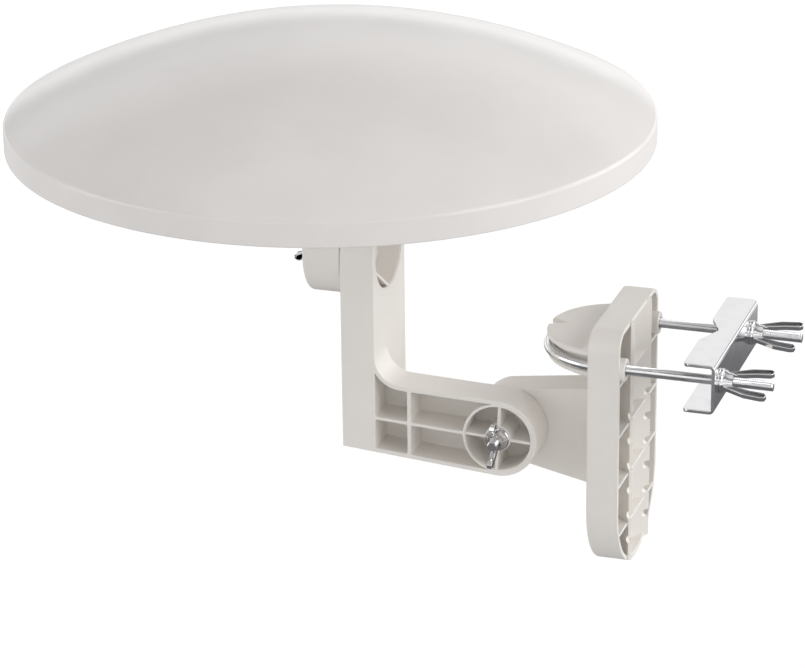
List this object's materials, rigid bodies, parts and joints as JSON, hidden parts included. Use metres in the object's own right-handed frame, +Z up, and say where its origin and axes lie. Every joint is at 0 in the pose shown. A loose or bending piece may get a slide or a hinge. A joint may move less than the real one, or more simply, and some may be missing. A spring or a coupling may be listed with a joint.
{
  "type": "outdoor television antenna",
  "caption": "Omnidirectional disc television antenna on a tilting L-shaped arm, held to a mast by a toothed clamp with a U-bolt, V plate and wing nuts.",
  "frame": {"origin": "centre of the flat floor of the clamp's V groove, level with the U-bolt", "axes": "+X from the clamp towards the mast, +Z up along the mast, +Y to complete a right-handed frame; the disc hangs out towards -X"},
  "size_m": [0.4515, 0.37, 0.302],
  "materials": {
    "shell_plastic": "semi-gloss warm white UV-stable plastic",
    "bracket_plastic": "satin warm white moulded plastic",
    "plated_steel": "bright zinc plate",
    "seal_rubber": "matte",
    "element_sheet": "mill",
    "circuit_board": "solder mask",
    "tin_plate": "tinned",
    "cable_jacket": "satin"
  },
  "bodies": {
    "clamp": {"clamp_body": "bracket_plastic", "u_bolt": "plated_steel", "elbow_bolt": "plated_steel", "elbow_washer": "plated_steel"},
    "elbow_nut": {"elbow_wing_nut": "plated_steel"},
    "plate": {"clamp_plate": "plated_steel", "plate_washer_near": "plated_steel", "plate_washer_far": "plated_steel"},
    "plate_nut_near": {"plate_wing_nut_near": "plated_steel"},
    "plate_nut_far": {"plate_wing_nut_far": "plated_steel"},
    "arm": {"l_arm": "bracket_plastic", "tilt_bolt": "plated_steel", "tilt_washer": "plated_steel"},
    "tilt_nut": {"tilt_wing_nut": "plated_steel"},
    "disc": {"radome_top": "shell_plastic", "bottom_cover": "shell_plastic", "rim_seal": "seal_rubber", "cover_screw_1": "plated_steel", "cover_screw_2": "plated_steel", "cover_screw_3": "plated_steel", "cover_screw_4": "plated_steel", "cover_screw_5": "plated_steel", "cover_screw_6": "plated_steel", "hub_bracket": "bracket_plastic", "hub_screw_1": "plated_steel", "hub_screw_2": "plated_steel", "hub_screw_3": "plated_steel", "hub_screw_4": "plated_steel", "receiving_element_1": "element_sheet", "receiving_element_2": "element_sheet", "receiving_element_3": "element_sheet", "receiving_element_4": "element_sheet", "amplifier_board": "circuit_board", "shield_can": "tin_plate", "f_connector": "tin_plate", "f_connector_nut": "tin_plate", "feed_cable_1": "cable_jacket", "feed_cable_2": "cable_jacket"}
  },
  "joints": [
    {"name": "arm_tilt", "type": "hinge", "parent": "clamp", "child": "arm", "pos_m": [-0.0608, 0, -0.0525], "axis": [0, 1, 0], "range_deg": [-90, 15]},
    {"name": "disc_tilt", "type": "hinge", "parent": "arm", "child": "disc", "pos_m": [-0.1657, -0.006, 0.046], "axis": [1, 0, 0], "range_deg": [-90, 90]},
    {"name": "plate_slide", "type": "slide", "parent": "clamp", "child": "plate", "axis": [1, 0, 0], "range_m": [-0.03, 0.018]},
    {"name": "near_nut_spin", "type": "hinge", "parent": "plate", "child": "plate_nut_near", "pos_m": [0.0735, -0.0375, 0], "axis": [1, 0, 0], "continuous": true},
    {"name": "far_nut_spin", "type": "hinge", "parent": "plate", "child": "plate_nut_far", "pos_m": [0.0735, 0.0375, 0], "axis": [1, 0, 0], "continuous": true},
    {"name": "elbow_nut_spin", "type": "hinge", "parent": "clamp", "child": "elbow_nut", "pos_m": [-0.0608, -0.038, -0.0525], "axis": [0, 1, 0], "continuous": true},
    {"name": "tilt_nut_spin", "type": "hinge", "parent": "arm", "child": "tilt_nut", "pos_m": [-0.181, -0.006, 0.046], "axis": [1, 0, 0], "continuous": true}
  ]
}
